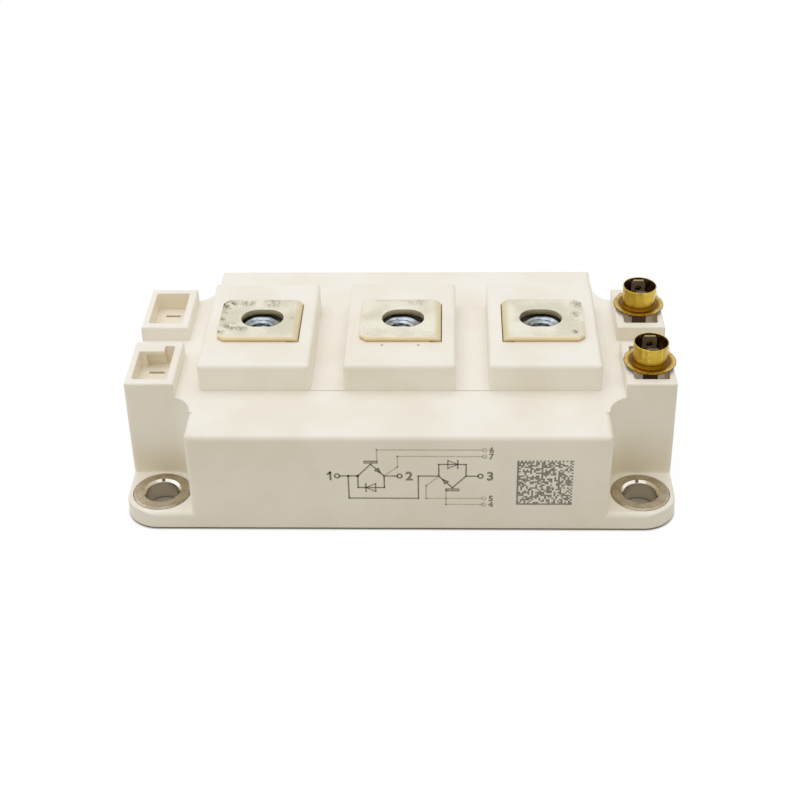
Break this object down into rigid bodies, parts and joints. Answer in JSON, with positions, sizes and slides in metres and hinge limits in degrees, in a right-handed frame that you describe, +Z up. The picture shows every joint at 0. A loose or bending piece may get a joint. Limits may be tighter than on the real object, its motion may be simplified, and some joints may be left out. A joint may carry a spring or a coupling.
{
  "type": "half-bridge igbt power module",
  "caption": "Flat screw-down power semiconductor module: cream moulded case on a metal base, raised pads with screw terminals, corner bushings and end sockets with brass shorting sleeves.",
  "frame": {"origin": "centre of the baseplate's underside", "axes": "+X along the length towards the control tabs, -Y towards the printed side face, +Z up out of the screw terminals"},
  "size_m": [0.1064, 0.0614, 0.03],
  "materials": {
    "case": "satin cream moulding",
    "baseplate": "nickel-plated copper",
    "sealant": "cured sealant",
    "bushing": "turned, dull plating",
    "terminal": "tinned copper strip with bare edges",
    "nut": "bluish zinc plate",
    "tab": "tinned brass",
    "eyelet": "bright brass",
    "tile": "fired alumina",
    "copper": "bare copper",
    "chip": "metallised silicon",
    "wire": "drawn aluminium",
    "gel": "clear soft gel"
  },
  "bodies": {
    "root": {"housing": "case", "baseplate": "baseplate", "sealant_bead": "sealant", "mount_bushing_front_left": "bushing", "mount_bushing_front_right": "bushing", "mount_bushing_rear_left": "bushing", "mount_bushing_rear_right": "bushing", "main_terminal_1": "terminal", "main_terminal_2": "terminal", "main_terminal_3": "terminal", "terminal_nut_1": "nut", "terminal_nut_2": "nut", "terminal_nut_3": "nut", "control_tab_4": "tab", "control_tab_5": "tab", "control_tab_6": "tab", "control_tab_7": "tab", "shorting_eyelet_front": "eyelet", "shorting_eyelet_rear": "eyelet", "ceramic_tile_left": "tile", "ceramic_tile_right": "tile", "copper_tracks_left": "copper", "copper_tracks_right": "copper", "copper_backing_left": "copper", "copper_backing_right": "copper", "bridge_strap_front": "copper", "bridge_strap_rear": "copper", "igbt_left_1": "chip", "igbt_left_2": "chip", "igbt_left_3": "chip", "igbt_right_1": "chip", "igbt_right_2": "chip", "igbt_right_3": "chip", "diode_left_1": "chip", "diode_left_2": "chip", "diode_left_3": "chip", "diode_right_1": "chip", "diode_right_2": "chip", "diode_right_3": "chip", "bond_wires_left": "wire", "bond_wires_right": "wire", "silicone_gel": "gel"}
  },
  "joints": []
}
